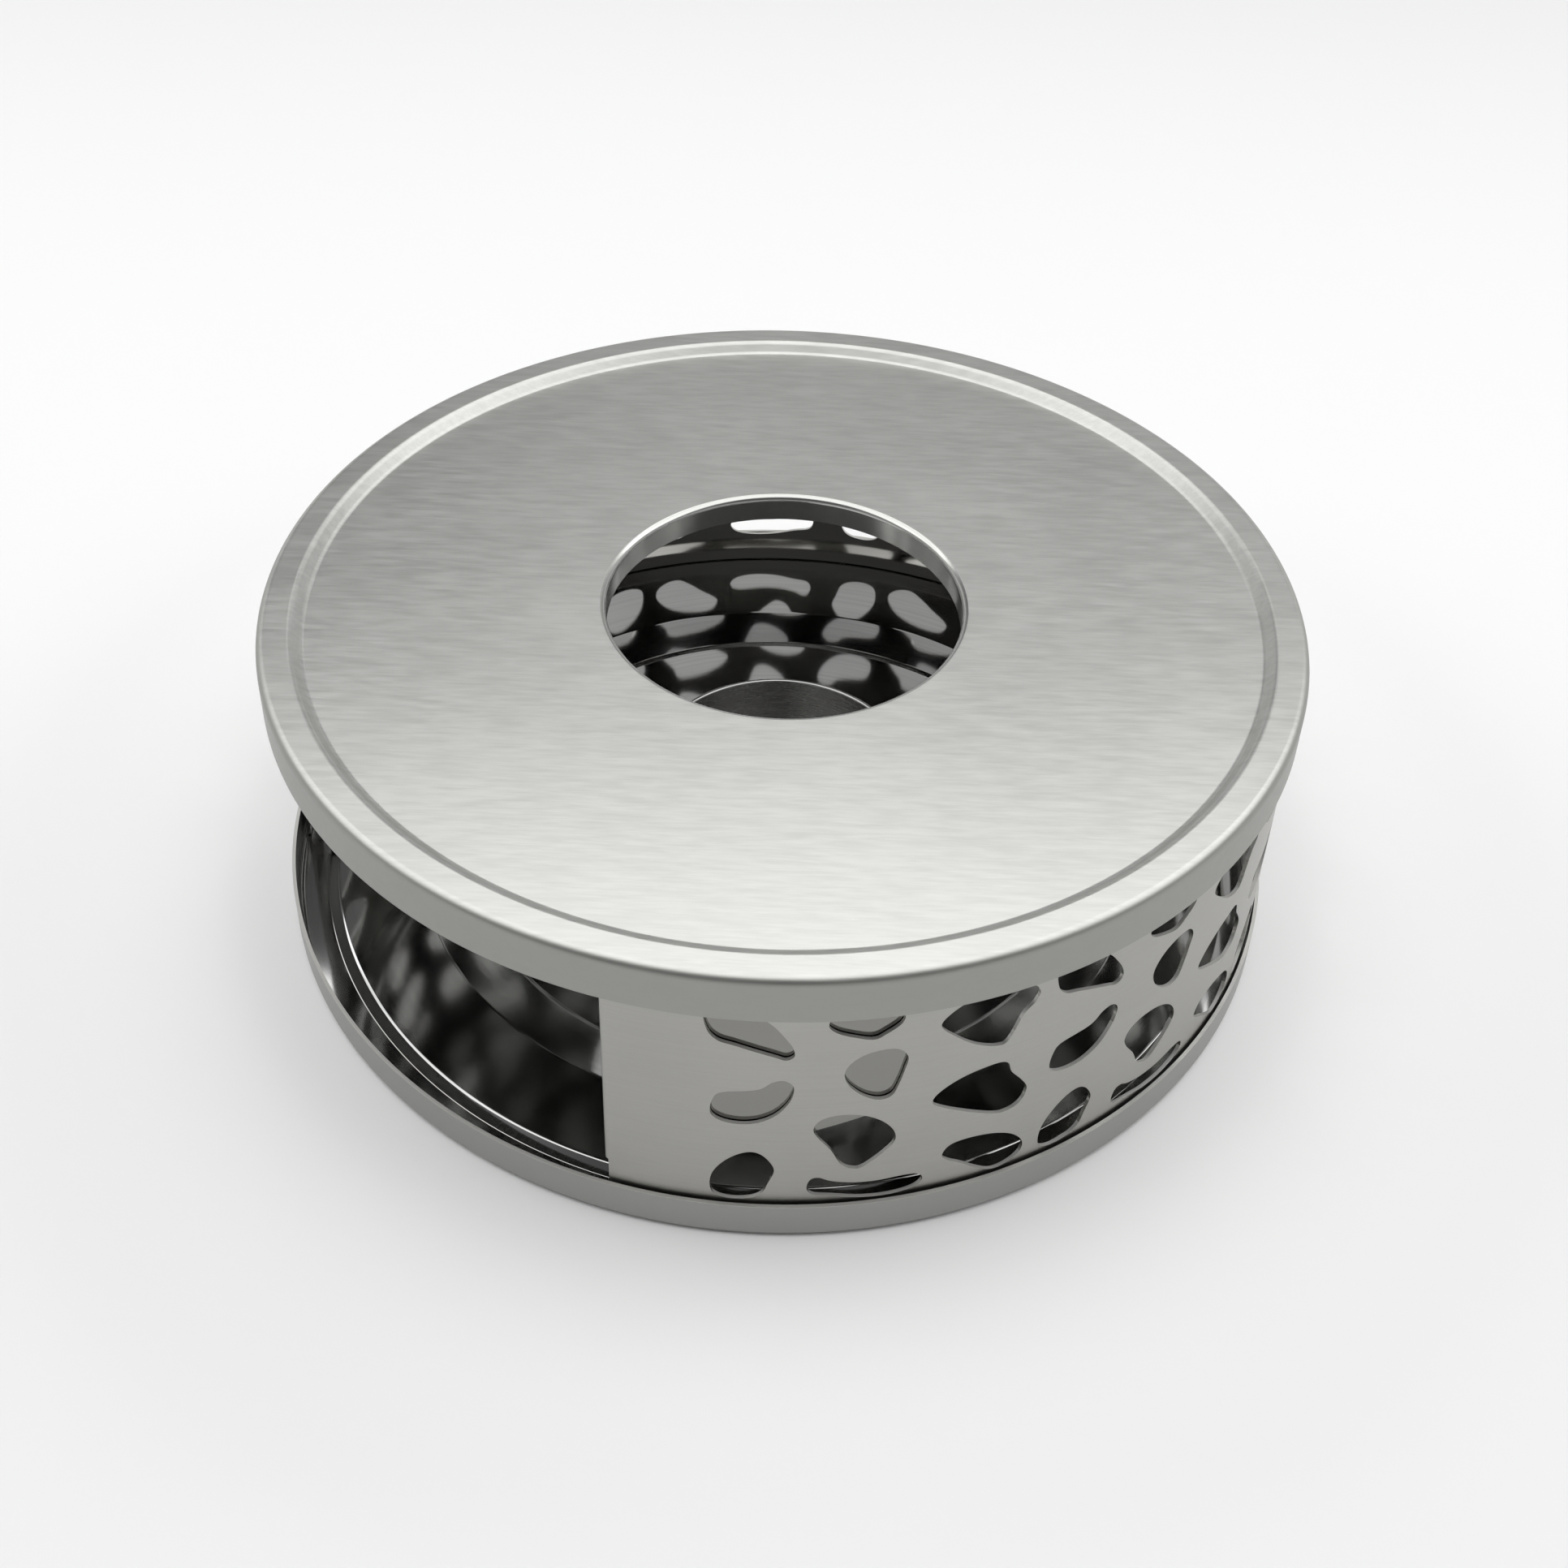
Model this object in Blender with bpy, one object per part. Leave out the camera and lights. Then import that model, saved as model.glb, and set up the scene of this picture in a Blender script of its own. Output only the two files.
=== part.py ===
import math

import bmesh
import bpy
from mathutils import Vector
from mathutils.geometry import delaunay_2d_cdt

MM = 0.001

# Whole object: outer size, sheet and the play that every piece stands in
OBJECT_RADIUS = 75.0 * MM
OBJECT_HEIGHT = 49.35 * MM
SHEET = 0.5 * MM
CORNER_BEND = 1.0 * MM
SMALL_BEND = 0.5 * MM
STANDING_GAP = 0.3 * MM

# Top cover: bends are measured on the middle of the sheet
COVER_SKIRT = 7.0 * MM
COVER_RING_WIDTH = 4.9 * MM
COVER_RECESS = 1.5 * MM
COVER_STEP_WIDTH = 0.9 * MM
COVER_STEP_TOP_BEND = 1.25 * MM
COVER_STEP_FOOT_BEND = 1.45 * MM
COVER_HOLE_RADIUS = 25.9 * MM
COVER_HOLE_BEND = 1.2 * MM
COVER_COLLAR_DEPTH = 4.2 * MM

# Base tray
TRAY_RIM_HEIGHT = 6.3 * MM
TRAY_RING_WIDTH = 5.0 * MM
TRAY_STEP_WIDTH = 1.5 * MM
TRAY_PLATEAU_RISE = 1.2 * MM
TRAY_DISH_RADIUS = 56.0 * MM
TRAY_DISH_SLOPE_WIDTH = 7.6 * MM
TRAY_DISH_BEND = 4.0 * MM
TRAY_DISH_STEP = 0.4 * MM
TRAY_DISH_STEP_WIDTH = 0.5 * MM
TRAY_DISH_STEP_BEND = 0.5 * MM

# Perforated wall: a strip with a doorway left open and its leading end folded back inside
WALL_SIDE_PLAY = 0.6 * MM
DOORWAY_ANGLE = math.radians(70.7)
HEM_LENGTH = 40.4 * MM
HEM_GAP = 0.3 * MM
HEM_TOP_SETBACK = 0.5 * MM
HEM_LOW_AT_FOLD = 9.6 * MM
HEM_LOW_AT_END = 24.1 * MM
LEAD_MARGIN = 13.2 * MM
TAIL_MARGIN = 6.5 * MM
LOW_MARGIN = 5.6 * MM
TOP_MARGIN = 4.7 * MM
TILE_GAP = 1.8 * MM

# Candle cup: thinner sheet, its edge folded outwards and down
CUP_RADIUS = 20.0 * MM
CUP_HEIGHT = 15.5 * MM
CUP_SHEET = 0.3 * MM
CUP_EDGE_BEND = 0.25 * MM
CUP_EDGE_DEPTH = 1.8 * MM
CUP_BASE_BEND = 1.5 * MM

# Smoothness of the faceted solids
COVER_STEPS = 64
TRAY_STEPS = 64
CUP_STEPS = 36
BEND_FAN = math.radians(45.0)
BEND_FACET = 1.0 * MM
WALL_FACET = math.radians(6.0)
FOLD_FACETS = 4
SHARP_ANGLE = math.radians(50.0)
WELD = 0.001 * MM
PUNCH_WELD = 0.03 * MM

# One repeat of the punched pebbles, in millimetres: along the strip, height above the table
PEBBLES = (
    ((-7.9, 43.0), (-7.6, 39.6), (-6.3, 37.7), (-4.0, 36.9), (0.6, 35.2), (2.2, 34.6),
     (3.2, 35.4), (2.9, 37.1), (1.7, 39.2), (0.2, 41.2), (-2.5, 43.4), (-5.5, 44.2)),
    ((7.2, 41.0), (8.2, 39.5), (10.6, 38.4), (12.9, 37.8), (14.4, 38.6),
     (16.2, 40.2), (16.4, 42.0), (14.6, 43.8), (11.5, 44.2), (8.4, 43.4)),
    ((-7.1, 24.0), (-6.8, 26.5), (-5.6, 28.0), (-1.2, 28.9), (0.6, 30.4), (2.2, 30.7),
     (3.3, 29.4), (2.9, 26.8), (1.2, 24.0), (-1.2, 22.4), (-3.8, 22.0), (-6.1, 22.6)),
    ((9.5, 31.4), (10.0, 33.3), (11.6, 34.9), (14.0, 35.7), (16.2, 35.4), (17.4, 33.7),
     (17.1, 31.4), (16.5, 28.8), (15.7, 26.7), (14.1, 26.2), (12.1, 27.2), (10.3, 29.2)),
    ((6.0, 21.3), (6.9, 23.0), (9.2, 23.8), (12.2, 23.4), (14.8, 21.8), (16.5, 19.3),
     (16.3, 16.8), (12.9, 13.1), (11.2, 12.8), (9.7, 14.0), (8.4, 16.8), (6.6, 19.5)),
    ((-7.1, 9.4), (-6.7, 11.9), (-5.2, 14.4), (-3.2, 16.1), (-1.4, 16.5), (0.1, 15.4),
     (1.2, 13.0), (0.5, 10.4), (-0.4, 8.0), (-2.2, 6.9), (-4.8, 6.7), (-6.6, 7.5)),
    ((5.5, 9.2), (5.9, 10.9), (7.0, 11.3), (8.6, 10.5), (11.2, 9.9), (14.5, 9.7), (18.2, 10.0),
     (20.2, 9.7), (20.9, 8.5), (19.8, 7.1), (16.8, 6.4), (12.8, 6.5), (8.9, 7.3), (6.3, 7.8)),
    ((21.3, 38.4), (22.6, 40.6), (25.4, 42.3), (29.2, 43.0), (32.6, 42.2), (34.5, 40.3),
     (34.0, 38.3), (32.5, 36.6), (30.8, 32.5), (29.2, 32.1), (26.4, 33.4), (23.6, 35.7)),
    ((21.2, 24.2), (22.6, 26.2), (25.6, 27.9), (29.4, 28.6), (31.2, 28.0), (31.9, 26.0),
     (33.6, 23.6), (34.6, 21.5), (33.9, 19.1), (31.9, 18.1), (29.4, 18.7), (22.6, 22.5)),
    ((23.3, 12.5), (24.3, 14.3), (26.8, 14.8), (30.2, 14.3), (33.2, 12.8), (35.1, 10.4),
     (35.0, 8.2), (33.2, 6.8), (30.9, 6.5), (28.8, 7.7), (26.2, 9.8), (24.2, 11.2)),
)


def turned(vector, angle):
    cosine = math.cos(angle)
    sine = math.sin(angle)
    return Vector((vector.x * cosine - vector.y * sine, vector.x * sine + vector.y * cosine))


def bent_sheet(corners, thickness):
    """Closed outline of a bent sheet from its middle line, given as (radius, height, bend radius)."""
    left = []
    right = []
    points = [Vector(corner[:2]) for corner in corners]
    for index, point in enumerate(points):
        before = points[max(index - 1, 0)]
        after = points[min(index + 1, len(points) - 1)]
        incoming = (point - before) if index > 0 else (after - point)
        outgoing = (after - point) if index < len(points) - 1 else incoming
        incoming = incoming.normalized()
        outgoing = outgoing.normalized()
        normal = Vector((-incoming.y, incoming.x))
        turn = math.atan2(normal.dot(outgoing), incoming.dot(outgoing))
        side = 1.0 if turn > 0.0 else -1.0
        bend = corners[index][2]
        start = point - incoming * bend * math.tan(abs(turn) / 2.0)
        centre = start + normal * side * bend
        fans = max(math.ceil(abs(turn) / BEND_FAN - WELD), math.ceil(abs(turn) * bend / BEND_FACET))
        for fan in range(fans + 1):
            angle = turn * fan / max(fans, 1)
            across = turned(normal, angle)
            middle = centre - across * side * bend
            left.append(middle + across * thickness / 2.0)
            right.append(middle - across * thickness / 2.0)
    outline = []
    for point in left + right[::-1]:
        if not outline or (point - outline[-1]).length > WELD:
            outline.append(point)
    return outline


def shade_round(mesh):
    """Smooth shading that stays crisp along edges sharper than the limit."""
    grid = bmesh.new()
    grid.from_mesh(mesh)
    for face in grid.faces:
        face.smooth = True
    for edge in grid.edges:
        edge.smooth = len(edge.link_faces) == 2 and edge.calc_face_angle() < SHARP_ANGLE
    grid.to_mesh(mesh)
    grid.free()


def steel(name, colour, roughness):
    material = bpy.data.materials.new(name)
    material.use_nodes = True
    shader = material.node_tree.nodes["Principled BSDF"]
    shader.inputs["Base Color"].default_value = (*colour, 1.0)
    shader.inputs["Metallic"].default_value = 1.0
    shader.inputs["Roughness"].default_value = roughness
    material.diffuse_color = (*colour, 1.0)
    return material


def add_piece(name, grid, height, material):
    """Finish a piece as one named object of the warmer, standing at its own height."""
    bmesh.ops.recalc_face_normals(grid, faces=grid.faces)
    mesh = bpy.data.meshes.new(name)
    grid.to_mesh(mesh)
    grid.free()
    shade_round(mesh)
    mesh.materials.append(material)
    piece = bpy.data.objects.new(name, mesh)
    piece.location = (0.0, 0.0, height)
    warmer.objects.link(piece)
    return piece


def revolved(outline, steps):
    """Solid of revolution about Z. Points on the axis stay single."""
    grid = bmesh.new()
    rings = []
    for point in outline:
        if point.x < WELD:
            rings.append([grid.verts.new((0.0, 0.0, point.y))] * steps)
            continue
        ring = []
        for step in range(steps):
            angle = math.tau * step / steps
            ring.append(grid.verts.new((point.x * math.cos(angle), point.x * math.sin(angle), point.y)))
        rings.append(ring)
    for index, ring in enumerate(rings):
        following = rings[(index + 1) % len(rings)]
        for step in range(steps):
            onward = (step + 1) % steps
            corners = [ring[step], ring[onward], following[onward], following[step]]
            distinct = list(dict.fromkeys(corners))
            if len(distinct) > 2:
                grid.faces.new(distinct)
    return grid


def make_cover(material):
    half = SHEET / 2.0
    skirt = OBJECT_RADIUS - half
    step = OBJECT_RADIUS - COVER_RING_WIDTH
    plate = -COVER_RECESS - half
    collar = COVER_HOLE_RADIUS + half
    corners = (
        (skirt, -COVER_SKIRT, 0.0),
        (skirt, -half, CORNER_BEND),
        (step, -half, COVER_STEP_TOP_BEND),
        (step - COVER_STEP_WIDTH, plate, COVER_STEP_FOOT_BEND),
        (collar, plate, COVER_HOLE_BEND),
        (collar, -COVER_RECESS - COVER_COLLAR_DEPTH, 0.0),
    )
    grid = revolved(bent_sheet(corners, SHEET), COVER_STEPS)
    return add_piece("top_cover", grid, OBJECT_HEIGHT, material)


def make_tray(material):
    half = SHEET / 2.0
    rim = OBJECT_RADIUS - half
    step_foot = OBJECT_RADIUS - TRAY_RING_WIDTH
    plateau = half + TRAY_PLATEAU_RISE
    dish_foot = TRAY_DISH_RADIUS - TRAY_DISH_SLOPE_WIDTH
    corners = (
        (rim, TRAY_RIM_HEIGHT, 0.0),
        (rim, half, CORNER_BEND),
        (step_foot, half, SMALL_BEND),
        (step_foot - TRAY_STEP_WIDTH, plateau, SMALL_BEND),
        (TRAY_DISH_RADIUS, plateau, TRAY_DISH_BEND),
        (dish_foot, half + TRAY_DISH_STEP, TRAY_DISH_STEP_BEND),
        (dish_foot - TRAY_DISH_STEP_WIDTH, half, TRAY_DISH_STEP_BEND),
        (0.0, half, 0.0),
    )
    grid = revolved(bent_sheet(corners, SHEET), TRAY_STEPS)
    return add_piece("base_tray", grid, 0.0, material)


def make_cup(material):
    half = CUP_SHEET / 2.0
    edge = CUP_RADIUS - half
    side = edge - 2.0 * CUP_EDGE_BEND
    top = CUP_HEIGHT - half
    corners = (
        (edge, CUP_HEIGHT - CUP_EDGE_DEPTH, 0.0),
        (edge, top, CUP_EDGE_BEND),
        (side, top, CUP_EDGE_BEND),
        (side, half, CUP_BASE_BEND),
        (0.0, half, 0.0),
    )
    grid = revolved(bent_sheet(corners, CUP_SHEET), CUP_STEPS)
    return add_piece("candle_cup", grid, SHEET + STANDING_GAP, material)


def anticlockwise(points):
    area = 0.0
    for point, following in zip(points, points[1:] + points[:1]):
        area += point.x * following.y - following.x * point.y
    return points if area > 0.0 else points[::-1]


def make_wall(material):
    half = SHEET / 2.0
    outer = OBJECT_RADIUS - SHEET - WALL_SIDE_PLAY
    middle = outer - half
    fold = (HEM_GAP + SHEET) / 2.0
    fold_reach = fold + half
    fold_length = math.pi * fold
    lead_angle = DOORWAY_ANGLE / 2.0 + fold_reach / middle
    tail_angle = math.tau - DOORWAY_ANGLE / 2.0
    tail = (tail_angle - lead_angle) * middle
    low = SHEET + STANDING_GAP
    height = OBJECT_HEIGHT - SHEET - STANDING_GAP - low

    # Flat blank: the strip, and beyond the fold the flap with its slanted lower edge
    flap_end = -fold_length - (HEM_LENGTH - fold_reach)
    flap_top = height - HEM_TOP_SETBACK
    blank = (
        (0.0, 0.0),
        (tail, 0.0),
        (tail, height),
        (0.0, height),
        (-fold_length / 2.0, flap_top),
        (flap_end, flap_top),
        (flap_end, HEM_LOW_AT_END),
        (-fold_length / 2.0, HEM_LOW_AT_FOLD),
        (0.0, HEM_LOW_AT_FOLD),
    )
    loops = [[Vector(corner) for corner in blank]]

    # As many whole repeats of the pebbles as fit, stretched a little to fill the strip
    across = [x for pebble in PEBBLES for x, z in pebble]
    upward = [z for pebble in PEBBLES for x, z in pebble]
    pattern_width = (max(across) - min(across)) * MM
    pattern_height = (max(upward) - min(upward)) * MM
    start = LEAD_MARGIN - fold_reach
    usable = tail - start - TAIL_MARGIN + TILE_GAP
    tiles = max(1, round(usable / (pattern_width + TILE_GAP)))
    pitch = usable / tiles
    stretch = (pitch - TILE_GAP) / pattern_width
    rise = (height - LOW_MARGIN - TOP_MARGIN) / pattern_height
    for tile in range(tiles):
        for pebble in PEBBLES:
            points = []
            for x, z in pebble:
                along = start + tile * pitch + (x - min(across)) * MM * stretch
                points.append(Vector((along, LOW_MARGIN + (z - min(upward)) * MM * rise)))
            loops.append(anticlockwise(points))

    # Bend lines: across the strip, round the fold and across the flap
    flap_middle = middle - 2.0 * fold
    facets = math.ceil((tail_angle - lead_angle) / WALL_FACET)
    facet = (tail_angle - lead_angle) / facets
    lines = [facet * middle * line for line in range(facets)]
    lines += [-fold_length * line / FOLD_FACETS for line in range(1, FOLD_FACETS + 1)]
    flap_facets = int((HEM_LENGTH - fold_reach) / flap_middle / facet)
    lines += [-fold_length - facet * flap_middle * line for line in range(1, flap_facets + 1)]

    # Flat sheet cut along every outline and bend line. Only what lies in the blank and in no pebble stays
    corners = [point / MM for loop in loops for point in loop]
    starts = [sum(len(loop) for loop in loops[:index]) for index in range(len(loops))]
    faces = [list(range(start, start + len(loop))) for start, loop in zip(starts, loops)]
    bends = []
    for line in lines:
        bends.append((len(corners), len(corners) + 1))
        corners.append(Vector((line, 0.0)) / MM)
        corners.append(Vector((line, height)) / MM)
    spots, _, triangles, _, _, owners = delaunay_2d_cdt(corners, bends, faces, 0, PUNCH_WELD / MM)
    sheet = [triangle for triangle, owner in zip(triangles, owners) if owner == [0]]
    flat = bmesh.new()
    used = sorted({spot for triangle in sheet for spot in triangle})
    placed = {spot: flat.verts.new((spots[spot].x * MM, spots[spot].y * MM, 0.0)) for spot in used}
    for triangle in sheet:
        flat.faces.new([placed[spot] for spot in triangle])

    def rolled(along, z, depth):
        """Point of the finished wall for a point of the blank, depth counted outwards."""
        if along >= 0.0:
            angle = lead_angle + along / middle
            radius = middle + depth
            return Vector((radius * math.sin(angle), -radius * math.cos(angle), z))
        radial = Vector((math.sin(lead_angle), -math.cos(lead_angle), 0.0))
        sideways = Vector((math.cos(lead_angle), math.sin(lead_angle), 0.0))
        if along > -fold_length:
            turn = -along / fold
            outward = middle - fold + math.cos(turn) * (fold + depth)
            return radial * outward - sideways * math.sin(turn) * (fold + depth) + Vector((0.0, 0.0, z))
        angle = lead_angle + (-along - fold_length) / flap_middle
        radius = flap_middle - depth
        return Vector((radius * math.sin(angle), -radius * math.cos(angle), z))

    wall = bmesh.new()
    front = {vert: wall.verts.new(rolled(vert.co.x, vert.co.y, half)) for vert in flat.verts}
    back = {vert: wall.verts.new(rolled(vert.co.x, vert.co.y, -half)) for vert in flat.verts}
    for face in flat.faces:
        wall.faces.new([front[vert] for vert in face.verts])
        wall.faces.new([back[vert] for vert in reversed(face.verts)])
    for edge in flat.edges:
        if len(edge.link_faces) == 1:
            first, second = edge.verts
            wall.faces.new((front[first], front[second], back[second], back[first]))
    flat.free()
    return add_piece("perforated_wall", wall, low, material)


for leftover in list(bpy.data.objects):
    bpy.data.objects.remove(leftover, do_unlink=True)
warmer = bpy.data.collections.new("teapot_warmer")
bpy.context.scene.collection.children.link(warmer)

make_tray(steel("tray_steel", (0.56, 0.55, 0.54), 0.12))
make_wall(steel("wall_steel", (0.62, 0.6, 0.57), 0.28))
make_cover(steel("brushed_cover", (0.66, 0.66, 0.65), 0.34))
make_cup(steel("cup_steel", (0.6, 0.59, 0.58), 0.2))
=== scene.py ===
import math

import bpy
from mathutils import Matrix, Vector
from mathutils.geometry import delaunay_2d_cdt


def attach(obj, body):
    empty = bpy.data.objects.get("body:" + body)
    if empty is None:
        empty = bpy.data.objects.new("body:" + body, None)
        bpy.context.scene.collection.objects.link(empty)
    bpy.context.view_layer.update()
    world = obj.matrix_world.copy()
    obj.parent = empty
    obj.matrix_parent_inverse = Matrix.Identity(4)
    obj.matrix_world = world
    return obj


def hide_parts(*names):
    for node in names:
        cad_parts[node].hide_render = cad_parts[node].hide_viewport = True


MM = 0.001

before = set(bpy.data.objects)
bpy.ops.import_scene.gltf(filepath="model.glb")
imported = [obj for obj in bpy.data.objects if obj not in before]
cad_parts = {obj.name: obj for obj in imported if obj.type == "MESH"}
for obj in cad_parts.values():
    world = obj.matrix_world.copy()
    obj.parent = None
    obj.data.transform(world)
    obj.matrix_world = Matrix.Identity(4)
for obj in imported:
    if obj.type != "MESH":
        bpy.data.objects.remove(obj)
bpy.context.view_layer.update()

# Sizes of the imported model, in metres
OBJECT_RADIUS = 75.0 * MM
OBJECT_HEIGHT = 49.35 * MM
SHEET = 0.5 * MM
CORNER_BEND = 1.0 * MM
SMALL_BEND = 0.5 * MM
STANDING_GAP = 0.3 * MM
COVER_SKIRT = 7.0 * MM
COVER_RECESS = 1.5 * MM
COVER_HOLE_RADIUS = 25.9 * MM
COVER_COLLAR_DEPTH = 4.2 * MM
TRAY_RIM_HEIGHT = 6.3 * MM
TRAY_RING_WIDTH = 5.0 * MM
TRAY_STEP_WIDTH = 1.5 * MM
TRAY_PLATEAU_RISE = 1.2 * MM
TRAY_DISH_RADIUS = 56.0 * MM
TRAY_DISH_SLOPE_WIDTH = 7.6 * MM
TRAY_DISH_BEND = 4.0 * MM
TRAY_DISH_STEP = 0.4 * MM
TRAY_DISH_STEP_WIDTH = 0.5 * MM
TRAY_DISH_STEP_BEND = 0.5 * MM
DOORWAY_ANGLE = math.radians(70.7)
HEM_LENGTH = 40.4 * MM
HEM_TOP_SETBACK = 0.5 * MM
HEM_LOW_AT_FOLD = 9.6 * MM
HEM_LOW_AT_END = 24.1 * MM
LEAD_MARGIN = 13.2 * MM
TAIL_MARGIN = 6.5 * MM
LOW_MARGIN = 5.6 * MM
TOP_MARGIN = 4.7 * MM
TILE_GAP = 1.8 * MM
CUP_RADIUS = 20.0 * MM
CUP_HEIGHT = 15.5 * MM
CUP_SHEET = 0.3 * MM
CUP_EDGE_BEND = 0.25 * MM
CUP_EDGE_DEPTH = 1.8 * MM
CUP_BASE_BEND = 1.5 * MM

# Sizes up to 0.5 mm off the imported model's, which only show as lines of light in the photograph
COVER_RING_WIDTH = 4.65 * MM
COVER_STEP_WIDTH = 1.4 * MM
COVER_STEP_TOP_BEND = 1.0 * MM
COVER_STEP_FOOT_BEND = 1.2 * MM
COVER_HOLE_BEND = 0.7 * MM
WALL_SIDE_PLAY = 0.4 * MM
HEM_GAP = 0.12 * MM

# The rolled wall and its folded hem, as they follow from the sizes
WALL_INSIDE = OBJECT_RADIUS - SHEET - WALL_SIDE_PLAY - SHEET
WALL_MIDDLE = WALL_INSIDE + SHEET / 2.0
WALL_LOW = SHEET + STANDING_GAP
WALL_HEIGHT = OBJECT_HEIGHT - SHEET - STANDING_GAP - WALL_LOW
FOLD_RADIUS = (HEM_GAP + SHEET) / 2.0
FOLD_REACH = FOLD_RADIUS + SHEET / 2.0
FOLD_LENGTH = math.pi * FOLD_RADIUS
FLAP_MIDDLE = WALL_MIDDLE - 2.0 * FOLD_RADIUS
FLAP_LENGTH = HEM_LENGTH - FOLD_REACH
LEAD_ANGLE = DOORWAY_ANGLE / 2.0 + FOLD_REACH / WALL_MIDDLE
ROLLED_ANGLE = math.tau - DOORWAY_ANGLE / 2.0 - LEAD_ANGLE
STRIP_LENGTH = ROLLED_ANGLE * WALL_MIDDLE

# Smoothness of the dressed pieces
ROUND_STEPS = 288
BEND_FAN = math.radians(9.0)
FAN_SLACK = 0.000001
WALL_FACET = math.radians(1.5)
FOLD_FACETS = 14
PEBBLE_PARTS = 5
WELD = 0.001 * MM
PUNCH_WELD = 0.01 * MM

# One repeat of the punched pebbles, in millimetres: along the strip, height above the table
PEBBLES = (
    ((-7.9, 43.0), (-7.6, 39.6), (-6.3, 37.7), (-4.0, 36.9), (0.6, 35.2), (2.2, 34.6),
     (3.2, 35.4), (2.9, 37.1), (1.7, 39.2), (0.2, 41.2), (-2.5, 43.4), (-5.5, 44.2)),
    ((7.2, 41.0), (8.2, 39.5), (10.6, 38.4), (12.9, 37.8), (14.4, 38.6),
     (16.2, 40.2), (16.4, 42.0), (14.6, 43.8), (11.5, 44.2), (8.4, 43.4)),
    ((-7.1, 24.0), (-6.8, 26.5), (-5.6, 28.0), (-1.2, 28.9), (0.6, 30.4), (2.2, 30.7),
     (3.3, 29.4), (2.9, 26.8), (1.2, 24.0), (-1.2, 22.4), (-3.8, 22.0), (-6.1, 22.6)),
    ((9.5, 31.4), (10.0, 33.3), (11.6, 34.9), (14.0, 35.7), (16.2, 35.4), (17.4, 33.7),
     (17.1, 31.4), (16.5, 28.8), (15.7, 26.7), (14.1, 26.2), (12.1, 27.2), (10.3, 29.2)),
    ((6.0, 21.3), (6.9, 23.0), (9.2, 23.8), (12.2, 23.4), (14.8, 21.8), (16.5, 19.3),
     (16.3, 16.8), (12.9, 13.1), (11.2, 12.8), (9.7, 14.0), (8.4, 16.8), (6.6, 19.5)),
    ((-7.1, 9.4), (-6.7, 11.9), (-5.2, 14.4), (-3.2, 16.1), (-1.4, 16.5), (0.1, 15.4),
     (1.2, 13.0), (0.5, 10.4), (-0.4, 8.0), (-2.2, 6.9), (-4.8, 6.7), (-6.6, 7.5)),
    ((5.5, 9.2), (5.9, 10.9), (7.0, 11.3), (8.6, 10.5), (11.2, 9.9), (14.5, 9.7), (18.2, 10.0),
     (20.2, 9.7), (20.9, 8.5), (19.8, 7.1), (16.8, 6.4), (12.8, 6.5), (8.9, 7.3), (6.3, 7.8)),
    ((21.3, 38.4), (22.6, 40.6), (25.4, 42.3), (29.2, 43.0), (32.6, 42.2), (34.5, 40.3),
     (34.0, 38.3), (32.5, 36.6), (30.8, 32.5), (29.2, 32.1), (26.4, 33.4), (23.6, 35.7)),
    ((21.2, 24.2), (22.6, 26.2), (25.6, 27.9), (29.4, 28.6), (31.2, 28.0), (31.9, 26.0),
     (33.6, 23.6), (34.6, 21.5), (33.9, 19.1), (31.9, 18.1), (29.4, 18.7), (22.6, 22.5)),
    ((23.3, 12.5), (24.3, 14.3), (26.8, 14.8), (30.2, 14.3), (33.2, 12.8), (35.1, 10.4),
     (35.0, 8.2), (33.2, 6.8), (30.9, 6.5), (28.8, 7.7), (26.2, 9.8), (24.2, 11.2)),
)

# The photograph looks at the warmer from this far round, to the right of the doorway
PHOTO_TURN = math.radians(51.6)

# Colours of the steel, each pair from its darker lines to its brighter ones
COVER_TONES = ((0.452, 0.455, 0.437), (0.548, 0.55, 0.53))
WALL_TONES = ((0.378, 0.373, 0.353), (0.417, 0.412, 0.39))
TRAY_TONES = ((0.396, 0.396, 0.392), (0.468, 0.468, 0.46))
CUP_TONES = ((0.36, 0.357, 0.35), (0.43, 0.427, 0.42))

# Painted shade: darker steel on the cover's skirt, on the hem's face behind the pebbles and on the
# tray's satin rim, standing in for the shade and dim reflections at these places
SKIRT_PAINTED_SHADE = (0.345, 0.347, 0.328)
HEM_PAINTED_SHADE = (0.252, 0.249, 0.237)
RIM_PAINTED_SHADE = (0.34, 0.34, 0.328)
# Painted highlight: edges that were cut or punched, and so are rough, painted lighter on the wall's
# edges that look up and on the tray rim's top
CUT_PAINTED_HIGHLIGHT = (0.6, 0.595, 0.575)

# Waves of each grain per metre along its three coordinates, or per radian where one is an angle
COVER_HAIR = (220.0, 3000.0, 2400.0)
COVER_STREAKS = (170.0, 1000.0, 800.0)
COVER_CLOUDS = (30.0, 45.0, 30.0)
WALL_HAIR = (6.0, 2600.0, 900.0)
WALL_CLOUDS = (60.0, 60.0, 60.0)
TRAY_RINGS = (1.5, 1500.0)
TRAY_CLOUDS = (40.0, 40.0, 40.0)
CUP_LINES = (3.0, 2200.0, 1500.0)
CUP_CLOUDS = (90.0, 90.0, 90.0)
FINE = {"Detail": 3.0, "Roughness": 0.6}
SOFT = {"Detail": 2.0, "Roughness": 0.5}

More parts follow.
